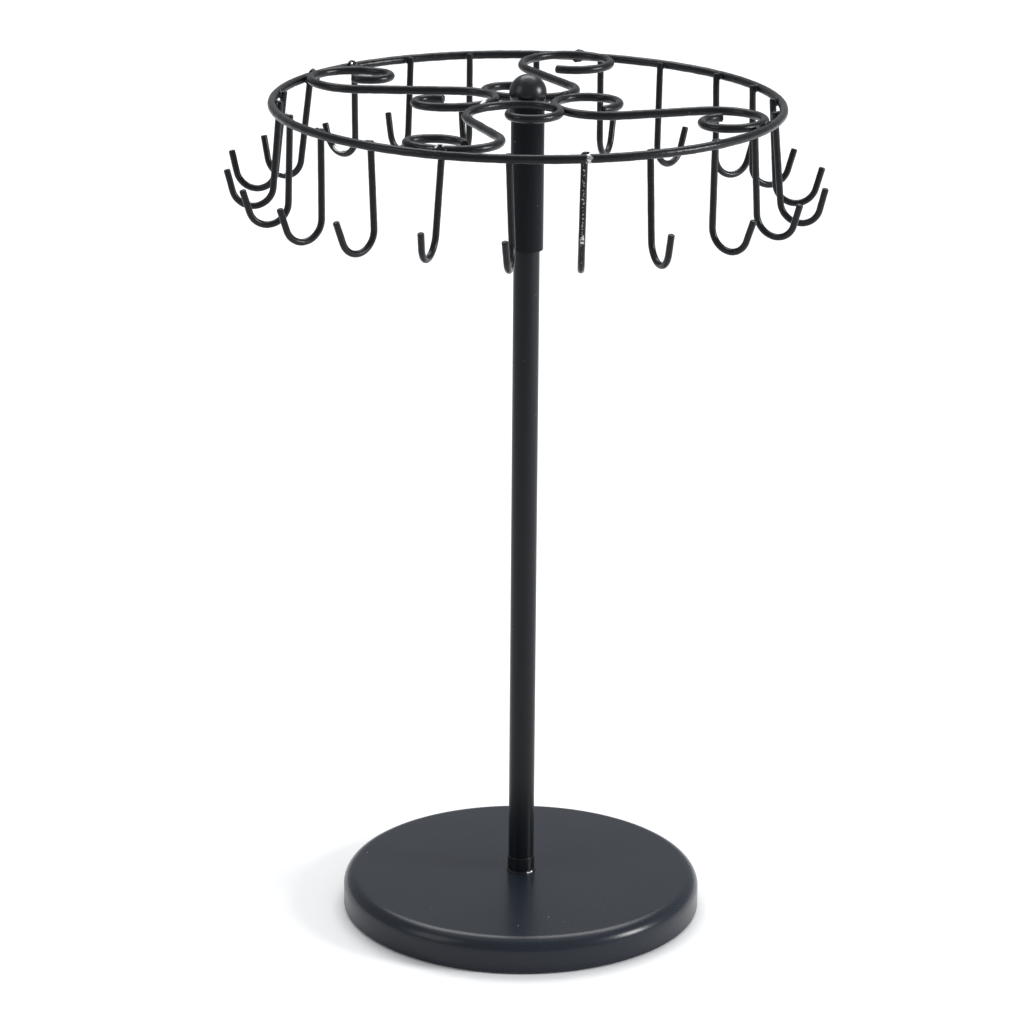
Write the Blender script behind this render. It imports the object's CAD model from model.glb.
"""The looks of a rotating wire hook stand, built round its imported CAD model."""

import math

import bpy
import numpy as np
from mathutils import Matrix, Vector


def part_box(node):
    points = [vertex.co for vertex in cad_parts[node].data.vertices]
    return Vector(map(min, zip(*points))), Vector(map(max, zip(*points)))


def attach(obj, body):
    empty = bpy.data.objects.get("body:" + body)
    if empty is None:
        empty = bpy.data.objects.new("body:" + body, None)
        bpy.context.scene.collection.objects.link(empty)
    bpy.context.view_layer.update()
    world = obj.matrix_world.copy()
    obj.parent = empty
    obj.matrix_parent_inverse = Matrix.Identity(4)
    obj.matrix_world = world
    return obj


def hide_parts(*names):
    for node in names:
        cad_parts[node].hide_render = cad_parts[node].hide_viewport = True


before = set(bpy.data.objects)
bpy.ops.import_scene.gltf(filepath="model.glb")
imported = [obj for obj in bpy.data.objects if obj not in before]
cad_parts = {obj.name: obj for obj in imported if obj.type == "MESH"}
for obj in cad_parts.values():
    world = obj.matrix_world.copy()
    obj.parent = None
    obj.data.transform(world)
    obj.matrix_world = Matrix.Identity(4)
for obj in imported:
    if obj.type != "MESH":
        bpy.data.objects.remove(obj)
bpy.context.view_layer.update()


# ---------------------------------------------------------------- base disc
# A heavy cast disc with a rounded upper edge, turned underneath to take the pad
# and drilled for the pole. It is sprayed satin charcoal, with a faint orange
# peel, and it gathers a little pale dust.

mm = 0.001


class Signal:
    """A shader socket that can be used in sums: each sign adds one Math node to the finish it belongs to."""

    def __init__(self, finish, socket):
        self.finish = finish
        self.socket = socket

    def math(self, operation, first, second):
        return self.finish.node("ShaderNodeMath", {"operation": operation}, {0: first, 1: second})

    def __add__(self, other):
        return self.math("ADD", self, other)

    def __sub__(self, other):
        return self.math("SUBTRACT", self, other)

    def __rsub__(self, other):
        return self.math("SUBTRACT", other, self)

    def __mul__(self, other):
        return self.math("MULTIPLY", self, other)

    __radd__ = __add__
    __rmul__ = __mul__


class Finish:
    """A material. Its constants are set on the shader, and node() adds any other node to it."""

    def __init__(self, name, **constants):
        self.material = bpy.data.materials.new(name)
        self.material.use_nodes = True
        self.tree = self.material.node_tree
        self.shader = self.tree.nodes["Principled BSDF"]
        for word, value in constants.items():
            self.shader.inputs[word.replace("_", " ").title().replace("Ior", "IOR")].default_value = value
        self.place = self.node("ShaderNodeTexCoord", output="Object")

    def node(self, kind, settings=None, inputs=None, output=0):
        """Adds a node, gives it its settings, then the values or links of its sockets, and returns one output."""
        made = self.tree.nodes.new(kind)
        for word, value in (settings or {}).items():
            setattr(made, word, value)
        for word, value in (inputs or {}).items():
            if isinstance(value, Signal):
                self.tree.links.new(value.socket, made.inputs[word])
            else:
                made.inputs[word].default_value = value
        return Signal(self, made.outputs[output])

    def noise(self, size, detail=2.0, roughness=0.5):
        """Cloudy noise from 0 to 1 whose patches are about size across."""
        return self.node("ShaderNodeTexNoise", {},
                         {"Vector": self.place, "Scale": 1 / size, "Detail": detail, "Roughness": roughness})

    def between(self, signal, low, high):
        """0 where signal is under low, 1 where it is over high, and a straight ramp between."""
        return self.node("ShaderNodeMapRange", {},
                         {"Value": signal, "From Min": low, "From Max": high, "To Min": 0.0, "To Max": 1.0})

    def blend(self, share, first, second):
        """The colour first where share is 0 and second where it is 1."""
        return self.node("ShaderNodeMix", {"data_type": "RGBA"}, {0: share, 6: first, 7: second}, output=2)

    def specks(self, cell, size, share):
        """1 in a speck of about size, in roughly share of the cells of a scattered pattern, and 0 elsewhere."""
        cells = {"Vector": self.place, "Scale": 1 / cell}
        near = self.node("ShaderNodeTexVoronoi", {}, cells, output="Distance")
        lot = self.node("ShaderNodeTexVoronoi", {}, cells, output="Color")
        lot = self.node("ShaderNodeSeparateColor", {}, {"Color": lot})
        radius = size / cell / 2
        return (1 - self.between(near, radius * 0.6, radius)) * self.between(lot, 1 - share, 1.001 - share)

    def bump(self, height, depth):
        """Feeds a relief of that height signal, depth high where it is 1, to the shader's normal."""
        relief = self.node("ShaderNodeBump", {}, {"Height": height, "Distance": depth})
        self.feed("Normal", relief)

    def feed(self, word, signal):
        """Links a signal to that input of the shader."""
        self.tree.links.new(signal.socket, self.shader.inputs[word])


def skin(name, grid, finish, body, closed=False, wear=None):
    """A mesh over grid, an array of rows by columns of points. Columns join round, and rows too if closed.
    A first or last row whose points all meet is one point with a fan round it. It is turned to face outwards: the
    faces abcd are reversed if the sum of a . (b x c) + a . (c x d), six times the volume, is negative. Wear is a
    value for each point, which the finish turns into bare metal."""
    rows, columns = grid.shape[:2]
    row = np.arange(rows if closed else rows - 1)[:, None]
    column = np.arange(columns)[None, :]
    after, beside = (row + 1) % rows, (column + 1) % columns
    number = np.arange(rows * columns).reshape(rows, columns)
    if not closed:
        for end in (0, rows - 1):
            if np.ptp(grid[end], axis=0).max() < 1e-9:
                number[end] = number[end, 0]
    quads = np.stack([number[row, column], number[row, beside], number[after, beside], number[after, column]], -1)
    quads = quads.reshape(-1, 4)
    points = grid.reshape(-1, 3)
    a, b, c, d = (points[quads[:, i]] for i in range(4))
    if (a * np.cross(b, c) + a * np.cross(c, d)).sum() < 0:
        quads = quads[:, ::-1]
    used = np.unique(quads)
    fresh = np.zeros(rows * columns, int)
    fresh[used] = np.arange(len(used))
    quads = fresh[quads]
    flat = (quads[:, 0] == quads[:, 1]) | (quads[:, 2] == quads[:, 3])
    tilted = (quads[:, 1] == quads[:, 2]) | (quads[:, 3] == quads[:, 0])
    faces = quads[~(flat | tilted)].tolist()
    for quad in quads[flat | tilted].tolist():
        faces.append(list(dict.fromkeys(quad)))
    mesh = bpy.data.meshes.new(name)
    mesh.from_pydata(points[used].tolist(), [], faces)
    mesh.polygons.foreach_set("use_smooth", np.ones(len(faces), bool))
    if wear is not None:
        attribute = mesh.attributes.new("wear", "FLOAT", "POINT")
        attribute.data.foreach_set("value", wear.ravel()[used].astype(np.float32))
    mesh.materials.append(finish.material)
    piece = bpy.data.objects.new(name, mesh)
    bpy.context.scene.collection.objects.link(piece)
    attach(piece, body)
    return piece


def outline(corners, steps=6):
    """Points round a chain of (radius, height, rounding) corners. A corner q is rounded between the points p and r
    on its two sides by ((1-t)^2 p + w q + t^2 r) / ((1-t)^2 + w + t^2) with w = sqrt(2) t (1-t), which is a true
    quarter circle where the sides are square."""
    made = []
    for i, (x, z, rounding) in enumerate(corners):
        corner = np.array([x, z])
        if rounding == 0:
            made.append(corner[None])
            continue
        before = np.array(corners[i - 1][:2]) - corner
        after = np.array(corners[(i + 1) % len(corners)][:2]) - corner
        p = corner + before / np.linalg.norm(before) * rounding
        r = corner + after / np.linalg.norm(after) * rounding
        t = np.linspace(0, 1, steps + 1)[:, None]
        weight = math.sqrt(2) * t * (1 - t)
        made.append(((1 - t) ** 2 * p + weight * corner + t ** 2 * r) / ((1 - t) ** 2 + weight + t ** 2))
    return np.concatenate(made)


def turned(profile, sides=128):
    """A surface of revolution: the point at (radius, height) of profile, carried round the pole's axis."""
    angle = np.linspace(0, 2 * math.pi, sides, endpoint=False)
    radius, height = profile[:, :1], profile[:, 1:]
    return np.stack([radius * np.cos(angle), radius * np.sin(angle), height + 0 * angle], -1)


low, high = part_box("base_disc")
pad_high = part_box("base_pad")[1]
pole_low, pole_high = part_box("pole_tube")
base_r, pad_r, pole_r = high.x, pad_high.x, pole_high.x
base_top = high.z
edge_r = 6 * mm
recess_r = pad_r + 0.2 * mm
base_profile = outline([
    (0, pad_high.z, 0),
    (recess_r, pad_high.z, 0.3 * mm),
    (recess_r, low.z, 0.4 * mm),
    (base_r, low.z, 0.8 * mm),
    (base_r, base_top, edge_r),
    (base_r / 2, base_top, 0),
    (pole_r, base_top, 0.3 * mm),
    (pole_r, pole_low.z, 0),
    (0, pole_low.z, 0)], steps=12)

base_paint = Finish("base_paint", specular_ior_level=0.27)
grain = base_paint.noise(0.9 * mm, detail=3)
clouds = base_paint.noise(28 * mm, detail=3)
dust = base_paint.specks(6 * mm, 0.6 * mm, 0.16)
charcoal = base_paint.blend(clouds, (0.011, 0.0140, 0.0205, 1), (0.0135, 0.0170, 0.0245, 1))
base_paint.feed("Base Color", base_paint.blend(dust * 0.75, charcoal, (0.55, 0.56, 0.58, 1)))
base_paint.feed("Roughness", grain * 0.06 + clouds * 0.06 + dust * 0.3 + 0.20)
base_paint.bump(grain, 0.012 * mm)
base_disc = skin("base_disc_painted", turned(base_profile, 192), base_paint, "stand")
base_disc.data.set_sharp_from_angle(angle=math.radians(50))
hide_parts("base_disc")


# ---------------------------------------------------------------- base pad
# A disc of dark foam rubber glued into the recess under the base, so that the
# stand neither slips nor scratches the table.

pad_foam = Finish("pad_foam", specular_ior_level=0.3)
pores = pad_foam.node("ShaderNodeTexVoronoi", {}, {"Vector": pad_foam.place, "Scale": 1 / (0.9 * mm)},
                      output="Distance")
patches = pad_foam.noise(15 * mm)
pad_foam.feed("Base Color", pad_foam.blend(patches, (0.022, 0.022, 0.023, 1), (0.034, 0.034, 0.035, 1)))
pad_foam.feed("Roughness", patches * 0.08 + 0.85)
pad_foam.bump(pores, 0.2 * mm)


def recoat(node, finish):
    """Gives a CAD node, whose mesh stays as it is, this finish."""
    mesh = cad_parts[node].data
    mesh.materials.clear()
    mesh.materials.append(finish.material)


recoat("base_pad", pad_foam)


# ---------------------------------------------------------------- pole
# Slim steel tube set in the base's socket. It is sprayed satin black: the paint
# has a fine orange peel, a few pale specks of dust and faint upright wipe marks.

wall = 1.2 * mm
pole_profile = outline([
    (pole_r - wall, pole_low.z, 0.2 * mm),
    (pole_r, pole_low.z, 0.3 * mm),
    (pole_r, pole_high.z, 0.4 * mm),
    (pole_r - wall, pole_high.z, 0.2 * mm)])


def sprayed(name, shine, dull=0.27):
    """The satin black of the tubes and the ball; shine is its specular level and dull its least roughness."""
    paint = Finish(name, specular_ior_level=shine)
    peel = paint.noise(1.1 * mm, detail=2)
    tall = paint.node("ShaderNodeMapping", {}, {"Vector": paint.place, "Scale": (1, 1, 0.05)})
    wipes = paint.node("ShaderNodeTexNoise", {}, {"Vector": tall, "Scale": 1 / (2.5 * mm), "Detail": 3.0})
    specks = paint.specks(4.5 * mm, 0.42 * mm, 0.2)
    black = paint.blend(wipes, (0.0055, 0.0065, 0.0085, 1), (0.0075, 0.0085, 0.011, 1))
    paint.feed("Base Color", paint.blend(specks * 0.6, black, (0.5, 0.5, 0.5, 1)))
    paint.feed("Roughness", wipes * 0.08 + specks * 0.3 + dull)
    paint.bump(peel, 0.01 * mm)
    return paint


pole_paint = sprayed("pole_paint", 0.22)
pole = skin("pole_painted", turned(pole_profile, 96), pole_paint, "stand", closed=True)
pole.data.set_sharp_from_angle(angle=math.radians(50))
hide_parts("pole_tube")


# ---------------------------------------------------------------- foot ferrule
# Short collar pushed down over the pole to hide its joint with the base, and
# the rough bead of glue and paint that is squeezed out round its lower edge.


def waves(points, size, seed, count=9):
    """Smooth lumps from about -1 to 1: the mean of count sine waves in space, each with its own direction, its
    own length of about size and its own phase, scaled up by the square root of count."""
    chance = np.random.default_rng(seed)
    direction = chance.normal(size=(count, 3))
    direction /= np.linalg.norm(direction, axis=1)[:, None]
    turns = direction / (size * chance.uniform(0.6, 1.6, (count, 1)))
    phase = chance.uniform(0, 2 * math.pi, count)
    return np.sin(points @ turns.T * 2 * math.pi + phase).sum(-1) / math.sqrt(count)


low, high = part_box("foot_ferrule")
ferrule_profile = outline([
    (pole_r, low.z, 0),
    (high.x, low.z, 0),
    (high.x, high.z, 0.7 * (high.x - pole_r)),
    (pole_r, high.z, 0)])
ferrule = skin("foot_ferrule_painted", turned(ferrule_profile, 96), pole_paint, "stand", closed=True)
ferrule.data.set_sharp_from_angle(angle=math.radians(50))
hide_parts("foot_ferrule")

wire_paint = Finish("wire_paint", specular_ior_level=0.25)
wear = wire_paint.node("ShaderNodeAttribute", {"attribute_name": "wear"}, output="Fac")
ragged = wire_paint.noise(0.8 * mm, detail=4, roughness=0.65)
chips = wire_paint.between(wear * 1.6 + ragged, 1.28, 1.36)
peel = wire_paint.noise(0.8 * mm, detail=3)
drifts = wire_paint.noise(9 * mm, detail=3)
specks = wire_paint.specks(3.2 * mm, 0.35 * mm, 0.1)
black = wire_paint.blend(drifts, (0.0045, 0.005, 0.0062, 1), (0.0065, 0.0072, 0.009, 1))
black = wire_paint.blend(specks * 0.5, black, (0.4, 0.4, 0.39, 1))
wire_paint.feed("Base Color", wire_paint.blend(chips, black, (0.62, 0.62, 0.61, 1)))
wire_paint.feed("Metallic", chips)
wire_paint.feed("Roughness", drifts * 0.1 + specks * 0.3 + 0.24)
wire_paint.bump(peel - chips * 0.8, 0.03 * mm)

# A lumpy ring: a small circle carried round the pole's axis and swollen by waves.
# It is bare where the cosine of the angle to one direction is near 1.
bead_r = 0.4 * mm
bead_z = base_top + 0.1 * mm
bright = math.radians(-52)
around = np.linspace(0, 2 * math.pi, 120, endpoint=False)[:, None]
across = np.linspace(0, 2 * math.pi, 14, endpoint=False)[None, :]
spot = np.stack([high.x * np.cos(around), high.x * np.sin(around), 0 * around], -1)
swell = bead_r * (1 + 0.3 * waves(spot, 2.5 * mm, 3))
reach = high.x + swell * np.cos(across)
grid = np.stack([reach * np.cos(around), reach * np.sin(around), bead_z + swell * np.sin(across)], -1)
bare = 0.8 * np.clip(np.cos(around - bright) * 12 - 11, 0, 1) + 0 * across
skin("foot_bead", grid, wire_paint, "stand", closed=True, wear=bare)


# ---------------------------------------------------------------- pivot cap
# Moulded nylon plug with a domed head, pressed into the top of the pole. The
# ball's spigot turns on it inside the sleeve, where it picks up a grey polish.

nylon = Finish("nylon", ior=1.53, specular_ior_level=0.45)
mottle = nylon.noise(2 * mm, detail=3)
rubbed = nylon.noise(0.7 * mm, detail=2)
nylon.feed("Base Color", nylon.blend(mottle, (0.62, 0.60, 0.53, 1), (0.74, 0.72, 0.66, 1)))
nylon.feed("Roughness", rubbed * 0.2 + 0.32)
nylon.bump(rubbed, 0.01 * mm)
recoat("pivot_cap", nylon)


# ---------------------------------------------------------------- hub sleeve
# Length of thicker tube that turns on the top of the pole and carries the
# scrolls. Its cut ends are eased, and it has the pole's paint, a little duller.

sleeve_low, sleeve_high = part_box("hub_sleeve")
sleeve_r = sleeve_high.x
running_gap = 0.08 * mm
bore_r = pole_r + running_gap
sleeve_profile = outline([
    (bore_r, sleeve_low.z, 0.15 * mm),
    (sleeve_r, sleeve_low.z, 0.5 * mm),
    (sleeve_r, sleeve_high.z, 0.3 * mm),
    (bore_r, sleeve_high.z, 0.1 * mm)])
sleeve_paint = sprayed("sleeve_paint", 0.08)
sleeve = skin("hub_sleeve_painted", turned(sleeve_profile, 96), sleeve_paint, "carousel",
              closed=True)
sleeve.data.set_sharp_from_angle(angle=math.radians(50))
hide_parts("hub_sleeve")


# ---------------------------------------------------------------- ball finial
# Steel ball welded on the sleeve's top, with a spigot below that runs down the
# sleeve's bore. Where the weld ran up its side the paint shows a shallow dent.

low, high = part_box("ball_finial")
ball_r = 7.5 * mm
ball_z = high.z - ball_r
seat = math.asin((sleeve_high.z - ball_z) / ball_r)
rise = np.linspace(math.pi / 2, seat, 64)[:, None]
around = np.linspace(0, 2 * math.pi, 128, endpoint=False)[None, :]
facing = np.stack([np.cos(rise) * np.cos(around), np.cos(rise) * np.sin(around), np.sin(rise) + 0 * around], -1)
dent = np.array([-0.18, -0.78, 0.60])
dent_width, dent_depth = 0.10, 0.10 * mm
hollow = np.exp(-(np.linalg.norm(facing - dent / np.linalg.norm(dent), axis=-1) / dent_width) ** 2)
ball = facing * (ball_r - dent_depth * hollow)[..., None] + np.array([0, 0, ball_z])
below = turned(np.array([(bore_r, sleeve_high.z), (bore_r, low.z), (0, low.z)]), 128)
ball_paint = sprayed("ball_paint", 0.42, 0.26)
finial = skin("ball_finial_painted", np.concatenate([ball, below]), ball_paint, "carousel")
finial.data.set_sharp_from_angle(angle=math.radians(50))
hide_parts("ball_finial")


# ---------------------------------------------------------------- hoop
# Round steel wire rolled into a hoop and butt-welded. Dipping leaves the paint
# a little thicker in places, so the wire looks faintly lumpy.


def along(path):
    """Unit vectors along a path, from its neighbouring points."""
    step = np.gradient(path, axis=0)
    return step / np.linalg.norm(step, axis=1)[:, None]


def coated(path, across, radius, seed, sides=24, lump=0.055 * mm):
    """A round bar on a path: each point plus its own radius times cos a of the side direction and sin a of across,
    the fixed unit vector square to the path, with the paint's waves added to the radius."""
    side = np.cross(across, along(path))
    a = np.linspace(0, 2 * math.pi, sides, endpoint=False)[None, :, None]
    outward = np.cos(a) * side[:, None] + np.sin(a) * across
    plain = path[:, None] + outward * radius.reshape(-1, 1, 1)
    runs = 0.6 * waves(plain, 7 * mm, seed) + 0.4 * waves(plain, 2.6 * mm, seed + 1)
    return plain + outward * (runs * lump * (radius.reshape(-1, 1) > 0))[..., None], outward


low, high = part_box("hoop_ring")
hoop_r = 102 * mm
wire_r = 1.75 * mm
hoop_z = (low.z + high.z) / 2
dip = math.radians(0.3)
on_hoop = Matrix.Translation((0, 0, hoop_z)) @ Matrix.Rotation(dip, 4, "Y")


def put(points, matrix):
    """Points carried by a matrix: its turning times each point, plus its shift."""
    matrix = np.array(matrix)
    return points @ matrix[:3, :3].T + matrix[:3, 3]


up = np.array([0.0, 0.0, 1.0])
angle = np.linspace(0, 2 * math.pi, 1201)[:, None]
circle = hoop_r * np.concatenate([np.cos(angle), np.sin(angle), 0 * angle], 1)

# The circle laps itself by a point at each end, which is cut off once the directions are taken
lap = np.concatenate([circle[-2:-1], circle, circle[1:2]])
tube, outward = coated(lap, up, np.full(len(lap), wire_r), 11)
tube = tube[1:-2]
worn = 0.35 * np.clip(waves(tube, 14 * mm, 12) - 0.9, 0, 1)

# Degrees clockwise from +Y, and how bare the hoop is there
chipped = {167: 0.58, 184: 0.4, 200: 0.46, 313: 0.58}
for toward, amount in chipped.items():
    spot = hoop_r * np.array([math.sin(math.radians(toward)), math.cos(math.radians(toward)), 0])
    worn += amount * np.exp(-(np.linalg.norm(tube - spot, axis=-1) / (3.2 * mm)) ** 4)
hoop = skin("hoop_ring_painted", put(tube, on_hoop), wire_paint, "carousel", closed=True,
            wear=worn)
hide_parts("hoop_ring")


# ---------------------------------------------------------------- scrolls
# Four lengths of the same wire, bent by hand on a jig into open scrolls, with a
# tight curl at the rim and a wider one round the sleeve. Their ends are cropped
# and then softened by the paint. The bends repeat the part's own.


def bent(steps, spacing=0.5 * mm):
    """Points on a wire that starts at the origin towards +X and is bent in the XY plane. A step (0, length) is a
    straight, and (radius, degrees) is a bend, to the left if the radius is positive: a point on it is the bend's
    centre plus the radius turned by the angle so far."""
    place, heading, made = np.zeros(2), 0.0, [np.zeros((1, 2))]
    for radius, amount in steps:
        ahead = np.array([math.cos(heading), math.sin(heading)])
        if radius == 0:
            run = place + np.linspace(0, amount * mm, round(amount * mm / spacing) + 1)[1:, None] * ahead
        else:
            sweep = math.radians(amount) * np.sign(radius)
            count = round(abs(radius * mm * sweep) / spacing) + 1
            turn = heading + np.linspace(0, sweep, count)[1:, None]
            centre = place + radius * mm * np.array([-ahead[1], ahead[0]])
            run = centre + radius * mm * np.concatenate([np.sin(turn), -np.cos(turn)], 1)
            heading += sweep
        made.append(run)
        place = run[-1]
    flat = np.concatenate(made)
    return np.concatenate([flat, np.zeros((len(flat), 1))], 1)


def cropped(path, radius, corner=0.5 * mm, steps=5):
    """The path and its radii with both ends rounded: at a distance e from an end, up to corner, the radius is
    radius - corner + sqrt(corner^2 - (corner - e)^2). The end itself is a point on the axis."""
    angle = np.linspace(0, math.pi / 2, steps)
    e = corner * (1 - np.cos(angle))
    near = radius - corner + corner * np.sin(angle)
    first, last = (path[1] - path[0]), (path[-2] - path[-1])
    first, last = first / np.linalg.norm(first), last / np.linalg.norm(last)
    head, tail = path[0] + e[:, None] * first, path[-1] + e[::-1, None] * last
    inner = path[2:-2]
    whole = np.concatenate([path[:1], head, inner, tail, path[-1:]])
    radii = np.concatenate([[0], near, np.full(len(inner), radius), near[::-1], [0]])
    return whole, radii


def bar(path, across, radius, seed, sides=24, lump=0.055 * mm):
    """A cropped wire on a path. Its two end points take their neighbours' direction, so the ends stay square."""
    whole, radii = cropped(path, radius)
    spread = whole.copy()
    spread[0] -= (whole[2] - whole[1]) * 0.5
    spread[-1] += (whole[-2] - whole[-3]) * 0.5
    grid, outward = coated(spread, across, radii, seed, sides, lump)
    grid[0], grid[-1] = whole[0], whole[-1]
    return grid, outward


# Each wire has a straight bar, given by its middle, its heading and its length, and
# bends from there to its rim end and to its hub end. It lies in a plane that is lift
# over the hoop's at the pole, and rim_lift over it at the rim in the direction of
# bearing, clockwise from +Y. All of it is in millimetres and degrees.
scrolls = {
    "scroll_left": dict(middle=(-47.9, 16.8), heading=-1.5, bar=39.8, lift=1.6, bearing=300,
                        rim=[(-21.5, 90), (-17.5, 132), (-8.6, 183)],
                        hub=[(-15.5, 116), (-19.5, 89), (-7.9, 180)]),
    "scroll_front": dict(middle=(-16.9, -54.9), heading=111.5, bar=30.6, lift=1.4, bearing=197,
                         rim=[(-17.5, 86), (-20, 79), (-6.3, 80), (-12, 131)],
                         hub=[(-23.5, 107), (-14, 160), (-8.4, 138)]),
    "scroll_right": dict(middle=(52.7, -18.2), heading=197, bar=31.5, lift=0.1, bearing=112,
                         rim=[(-19.5, 80), (-17, 89), (-10.7, 196)],
                         hub=[(-21, 132), (-12.5, 132), (-14.5, 46), (-16, 34)]),
    "scroll_back": dict(middle=(8.8, 48.6), heading=-61, bar=35.2, lift=0.4, bearing=12,
                        rim=[(-22.5, 92), (-17, 89), (-15.5, 145)],
                        hub=[(-16, 85), (-22, 72), (-10.5, 155)]),
}
rim_lift = 1.2
scroll_paths = {}
for number, (name, s) in enumerate(scrolls.items()):
    fall = math.atan((s["lift"] - rim_lift) * mm / hoop_r)
    turn = math.radians(s["bearing"])
    pose = (on_hoop @ Matrix.Translation((0, 0, s["lift"] * mm)) @ Matrix.Rotation(-turn, 4, "Z")
            @ Matrix.Rotation(-fall, 4, "X") @ Matrix.Rotation(turn, 4, "Z")
            @ Matrix.Translation((s["middle"][0] * mm, s["middle"][1] * mm, 0))
            @ Matrix.Rotation(math.radians(s["heading"]), 4, "Z") @ Matrix.Translation((-s["bar"] / 2 * mm, 0, 0)))
    rim_end = bent(s["rim"]) * np.array([-1, -1, 1])
    hub_end = bent([(0, s["bar"])] + s["hub"])
    path = np.concatenate([rim_end[:0:-1], hub_end])
    grid, outward = bar(path, up, wire_r, 20 + 3 * number)
    worn = 0.3 * np.clip(waves(grid, 16 * mm, 21 + number) - 1.0, 0, 1)
    worn[:4] += 0.35
    worn[-4:] += 0.35
    piece = skin(name + "_painted", put(grid, pose), wire_paint, "carousel", wear=worn)
    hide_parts(name)
    scroll_paths[name] = put(path, pose)


# ---------------------------------------------------------------- hooks
# Thinner wire, bent into a J and welded to the inside of the hoop. Each was set
# by hand, so its bearing, its leans and its length are its own. What hangs on
# the hooks has rubbed some of their bends bright.

hook_r = 1.35 * mm

# For each hook its bearing clockwise from +Y, its sway sideways, its lean in or out and
# its twist about the shank, in degrees, and the millimetres added to its shank and cut
# from its tip. Then the hooks, by number, that are rubbed in the bend or streaked.
bearing = [2, 18, 34, 52, 68, 84, 99, 117, 133.5, 152, 167.5,
           184, 199, 217, 233.5, 250, 265.5, 277, 295.5, 313, 330, 345.5]
sway = [0, 1, 1.5, 3.5, 1.5, 2, -4, -5.5, -2.5, -0.5, 0, -2.5, 3.5, -1, 0, 1, 1, 2, -2.5, 4, -4, 0]
lean = [0, -1.5, -3.5, -1.5, 1, 3.5, 5, 1, -2.5, 3, -3, -1.5, 1, -2.5, -0.5, 1, 4.5, 6.5, 6, 3, -4, -0.5]
twist = [0, 0.5, 5.5, 6.5, 0.5, 7, 12.5, 4.5, -5, 6, 13.5, 3, -1.5, 8.5, 0, -3.5, 1.5, 3.5, 3.5, 0, 1, 3.5]
extra = [0, 0.5, 1, 0.5, -0.5, 0.5, 3, 1, 0.5, 0.5, 0, 0, -2, 0, 1, 1, 1, -0.5, 1, -2.5, -3, -0.5]
trim = [0, 0, -0.5, 0, 0, 0, -0.5, -0.5, -0.5, 0.5, 0, 0.5, 2, -0.5, -0.5, -0.5, 0, 0, -0.5, 3, 0, 0]
rubbed_hooks = {11: 0.9, 20: 0.75, 19: 0.6, 12: 0.4, 4: 0.4, 15: 0.3}
streaked_hooks = {11: 0.47, 12: 0.15, 10: 0.1}

# What they share: shank, radius of the bend, degrees it lacks of a half turn, and tip
leg, bend_r, splay, tip = 33, 8.3, 19, 9

# The shank rises this far above the hoop's middle. Under a scroll's wire, 1.75 mm
# thick to its middle, it stops 0.15 mm short of it.
free_rise = 1.3
short_rise = rim_lift - 1.75 - 0.15
short_hooks = (2, 8, 13, 19)


def turned_by(x, y, z):
    """Turns about X, then Y, then Z, in degrees."""
    x, y, z = (math.radians(a) for a in (x, y, z))
    return Matrix.Rotation(z, 4, "Z") @ Matrix.Rotation(y, 4, "Y") @ Matrix.Rotation(x, 4, "X")


for i in range(len(bearing)):
    rise = short_rise if i + 1 in short_hooks else free_rise
    pose = (on_hoop @ turned_by(0, 0, -bearing[i]) @ Matrix.Translation((0, hoop_r - wire_r - hook_r, 0))
            @ turned_by(lean[i], -sway[i], 0) @ turned_by(0, 0, -twist[i])
            @ Matrix.Translation((0, 0, rise * mm)) @ turned_by(0, 90, 0))
    shank = leg + extra[i] + rise
    path = bent([(0, shank), (bend_r, 180 - splay), (0, tip - trim[i])])
    grid, outward = bar(path, up, hook_r, 100 + 2 * i, sides=20, lump=0.03 * mm)
    below = grid[..., 0] - shank * mm
    inside = np.clip(-(outward[..., 0]) * 1.5, 0, 1)
    saddle = np.exp(-((below - (bend_r - 1.2) * mm) / (2.5 * mm)) ** 2) * inside
    worn = rubbed_hooks.get(i + 1, 0.15) * saddle + 0.3 * np.clip(waves(grid, 9 * mm, 300 + i) - 1.0, 0, 1)
    worn += streaked_hooks.get(i + 1, 0.0) * np.clip(outward[..., 1] * 1.4 - 0.4, 0, 1)
    worn[-5:] += 0.25
    name = f"hook_{i + 1:02d}"
    piece = skin(name + "_painted", put(grid, pose), wire_paint, "carousel", wear=worn)
    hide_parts(name)


# ---------------------------------------------------------------- weld beads
# Where two wires meet they were spot-welded before painting. The paint runs over
# each lump, and has chipped to bright steel on some of them.


def bead(name, centre, axes, half, seed, bare):
    """A lumpy closed ball: centre plus the unit sphere stretched by three half sizes along three axes, times one
    plus waves. Its wear is bare on the lumps' crests."""
    rise = np.linspace(math.pi / 2, -math.pi / 2, 18)[:, None]
    around = np.linspace(0, 2 * math.pi, 26, endpoint=False)[None, :]
    ball = np.stack([np.cos(rise) * np.cos(around), np.cos(rise) * np.sin(around), np.sin(rise) + 0 * around], -1)
    ball[0], ball[-1] = (0, 0, 1), (0, 0, -1)
    swell = 1 + 0.10 * waves(ball, 1.1, seed) + 0.04 * waves(ball, 0.5, seed + 1)
    grid = centre + (ball * swell[..., None] * half) @ np.array(axes)
    crest = np.clip(waves(ball, 1.4, seed + 2) * 0.6 + 0.4, 0, 1)
    return skin(name, grid, wire_paint, "carousel", wear=bare * crest)


def nearest(first, second):
    """The closest points of two paths: the least entry of the table of distances between all their points."""
    gap = np.linalg.norm(first[:, None] - second[None], axis=-1)
    i, j = np.unravel_index(gap.argmin(), gap.shape)
    return first[i], second[j], along(first)[i]


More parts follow.
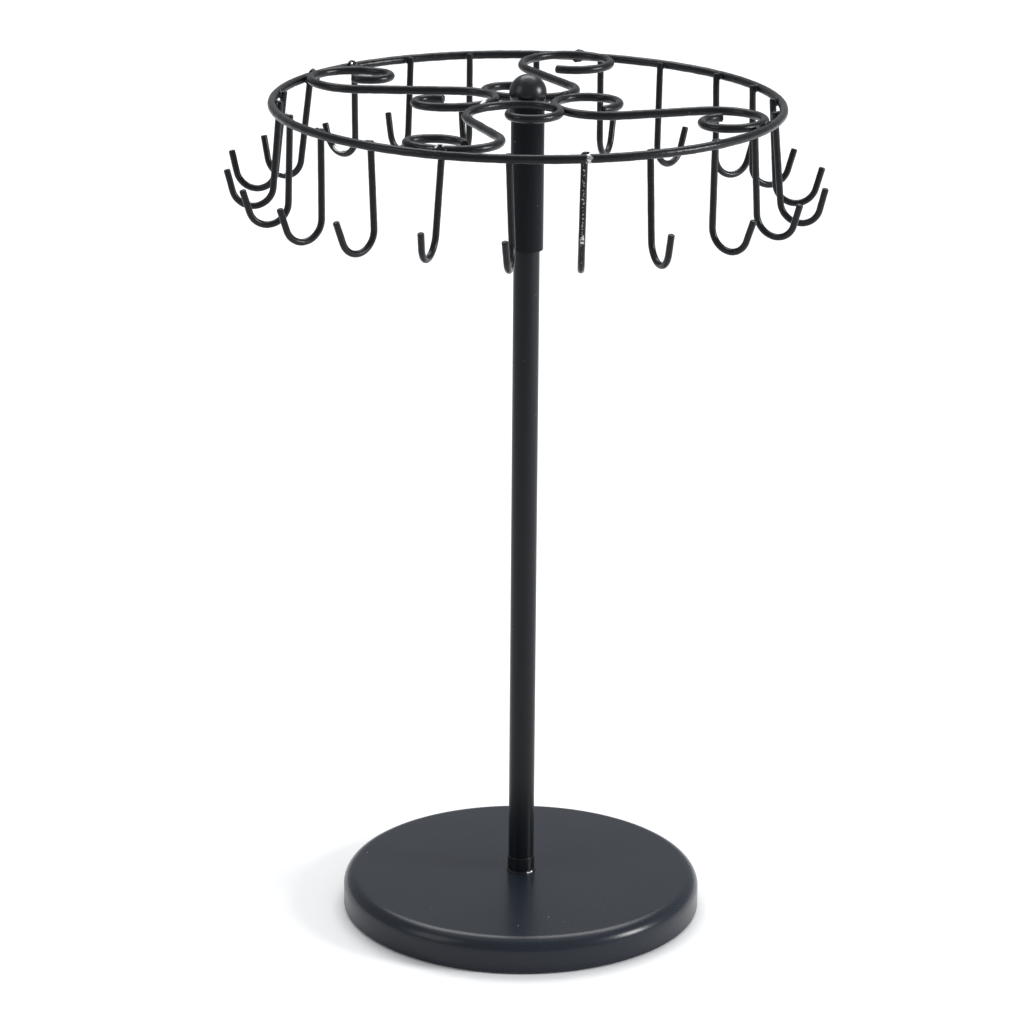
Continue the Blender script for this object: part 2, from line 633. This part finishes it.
def join(name, first, second, size, seed, bare):
    """A bead at the closest points of two wires: one axis from wire to wire and one along the first wire."""
    a, b, run = nearest(first, second)
    across = (b - a) / np.linalg.norm(b - a)
    run = run - across * (run @ across)
    run /= np.linalg.norm(run)
    bead(name, (a + b) / 2, [run, np.cross(across, run), across], np.array(size) * mm, seed, bare)


hoop_path = put(circle, on_hoop)
for number, (name, path) in enumerate(scroll_paths.items()):
    breadth = 2.7 if name in ("scroll_left", "scroll_back") else 1.8
    side = name.removeprefix("scroll_")
    join(f"weld_rim_{side}", path, hoop_path, (2.8, breadth, 1.9), 500 + 7 * number, 0.4)
join("weld_left_front", scroll_paths["scroll_left"], scroll_paths["scroll_front"], (3.4, 2.2, 2.3), 541, 0.62)
join("weld_front_right", scroll_paths["scroll_right"], scroll_paths["scroll_front"], (3.0, 2.0, 2.2), 552, 0.45)
join("weld_back_left", scroll_paths["scroll_left"], scroll_paths["scroll_back"], (2.4, 1.5, 1.9), 563, 0.4)
join("weld_back_right", scroll_paths["scroll_right"], scroll_paths["scroll_back"], (3.2, 2.4, 2.3), 574, 0.5)

# Two of the wires also touch the sleeve: each is joined to an upright line on it
height = np.linspace(sleeve_high.z - 12 * mm, sleeve_high.z, 25)[:, None]
for number, name in enumerate(("scroll_front", "scroll_back")):
    path = scroll_paths[name]
    closest = path[np.hypot(path[:, 0], path[:, 1]).argmin()]
    foot = closest[:2] / np.linalg.norm(closest[:2]) * sleeve_r
    upright = np.concatenate([np.tile(foot, (len(height), 1)), height], 1)
    side = name.removeprefix("scroll_")
    join(f"weld_sleeve_{side}", path, upright, (2.8, 1.5, 1.6), 590 + 7 * number, 0.3)

# A bead where each hook meets the hoop. Some are bare, and some stand taller than the wire.
bright_welds = {11: 0.65, 20: 0.75, 13: 0.6, 19: 0.45, 4: 0.4, 16: 0.35}
tall_welds = {11: 0.4, 13: 1.2, 20: 0.9}
for i in range(len(bearing)):
    spin = on_hoop @ turned_by(0, 0, -bearing[i])
    frame_of = np.array(spin.to_3x3()).T
    tall = tall_welds.get(i + 1, 0)
    centre = put(np.array([[0, hoop_r - wire_r, (0.1 + tall) * mm]]), spin)[0]
    half = np.array([2.0 + tall / 2, 1.15 + tall / 3, 1.75 + tall / 2]) * mm
    bead(f"weld_hook_{i + 1:02d}", centre, frame_of, half, 600 + 5 * i, bright_welds.get(i + 1, 0.12))


# ---------------------------------------------------------------- table, lights and camera
# A wide pale table top under soft studio lights: a key light low on the right, a
# weaker one on the left, one overhead, and one for the table behind the stand.

around = np.linspace(0, 2 * math.pi, 96, endpoint=False)
reach = np.array([0.0, 0.3, 1.0, 3.0, 14.0])[:, None]
ground = np.stack([reach * np.cos(around), reach * np.sin(around), 0 * reach * around], -1)
table = Finish("table_top", specular_ior_level=0.2)
shade = table.noise(0.4, detail=2)
table.feed("Base Color", table.blend(shade, (0.86, 0.86, 0.865, 1), (0.88, 0.88, 0.88, 1)))
table.feed("Roughness", shade * 0.05 + 0.7)
mesh = bpy.data.meshes.new("table_top")
count = len(around)
number = np.arange(reach.size * count).reshape(reach.size, count)
quads = np.stack([number[:-1], number[1:], np.roll(number[1:], -1, 1), np.roll(number[:-1], -1, 1)], -1)
mesh.from_pydata(ground.reshape(-1, 3).tolist(), [], quads[1:].reshape(-1, 4).tolist() + [number[1].tolist()])
mesh.materials.append(table.material)
floor = bpy.data.objects.new("table_top", mesh)
bpy.context.scene.collection.objects.link(floor)

room = bpy.data.worlds.new("studio")
bpy.context.scene.world = room
room.use_nodes = True
room.node_tree.nodes["Background"].inputs["Color"].default_value = (0.93, 0.96, 1.0, 1)
room.node_tree.nodes["Background"].inputs["Strength"].default_value = 0.45
bpy.context.scene.view_settings.view_transform = "Standard"


def soft_light(name, place, aim, width, height, power):
    """A rectangular area light at place, turned to aim."""
    lamp = bpy.data.lights.new(name, "AREA")
    lamp.shape = "RECTANGLE"
    lamp.size = width
    lamp.size_y = height
    lamp.energy = power
    made = bpy.data.objects.new(name, lamp)
    made.location = place
    made.rotation_euler = (Vector(aim) - Vector(place)).to_track_quat("-Z", "Y").to_euler()
    bpy.context.scene.collection.objects.link(made)


soft_light("key_right", (1.9, -0.45, 0.85), (0, 0, 0.25), 0.5, 0.6, 34)
soft_light("fill_left", (-1.8, -1.0, 1.2), (0, 0, 0.2), 1.0, 1.4, 8)
soft_light("overhead", (0, 0.5, 2.6), (0, 0, 0), 3.2, 2.4, 18)
soft_light("backdrop", (0, 2.2, 3.2), (0, 2.1, 0), 3.0, 2.0, 90)

# The camera stands at eye. Yaw turns it about the upright, tilt down and roll about its own line of sight.
eye = (0, -1.5017, 0.65697)
tilt, yaw, roll = 0.3110515, -0.0033417, 0.0081876
forward = np.array([math.sin(yaw) * math.cos(tilt), math.cos(yaw) * math.cos(tilt), -math.sin(tilt)])
right = np.array([math.cos(yaw), -math.sin(yaw), 0])
upward = np.cross(right, forward)
level = math.cos(roll) * right + math.sin(roll) * upward
upright = -math.sin(roll) * right + math.cos(roll) * upward
lens = bpy.data.cameras.new("camera")
lens.sensor_width = 36
lens.lens = 134.36
camera = bpy.data.objects.new("camera", lens)
turning = Matrix(np.column_stack([level, upright, -forward]).tolist())
camera.matrix_world = Matrix.Translation(eye) @ turning.to_4x4()
bpy.context.scene.collection.objects.link(camera)
bpy.context.scene.camera = camera
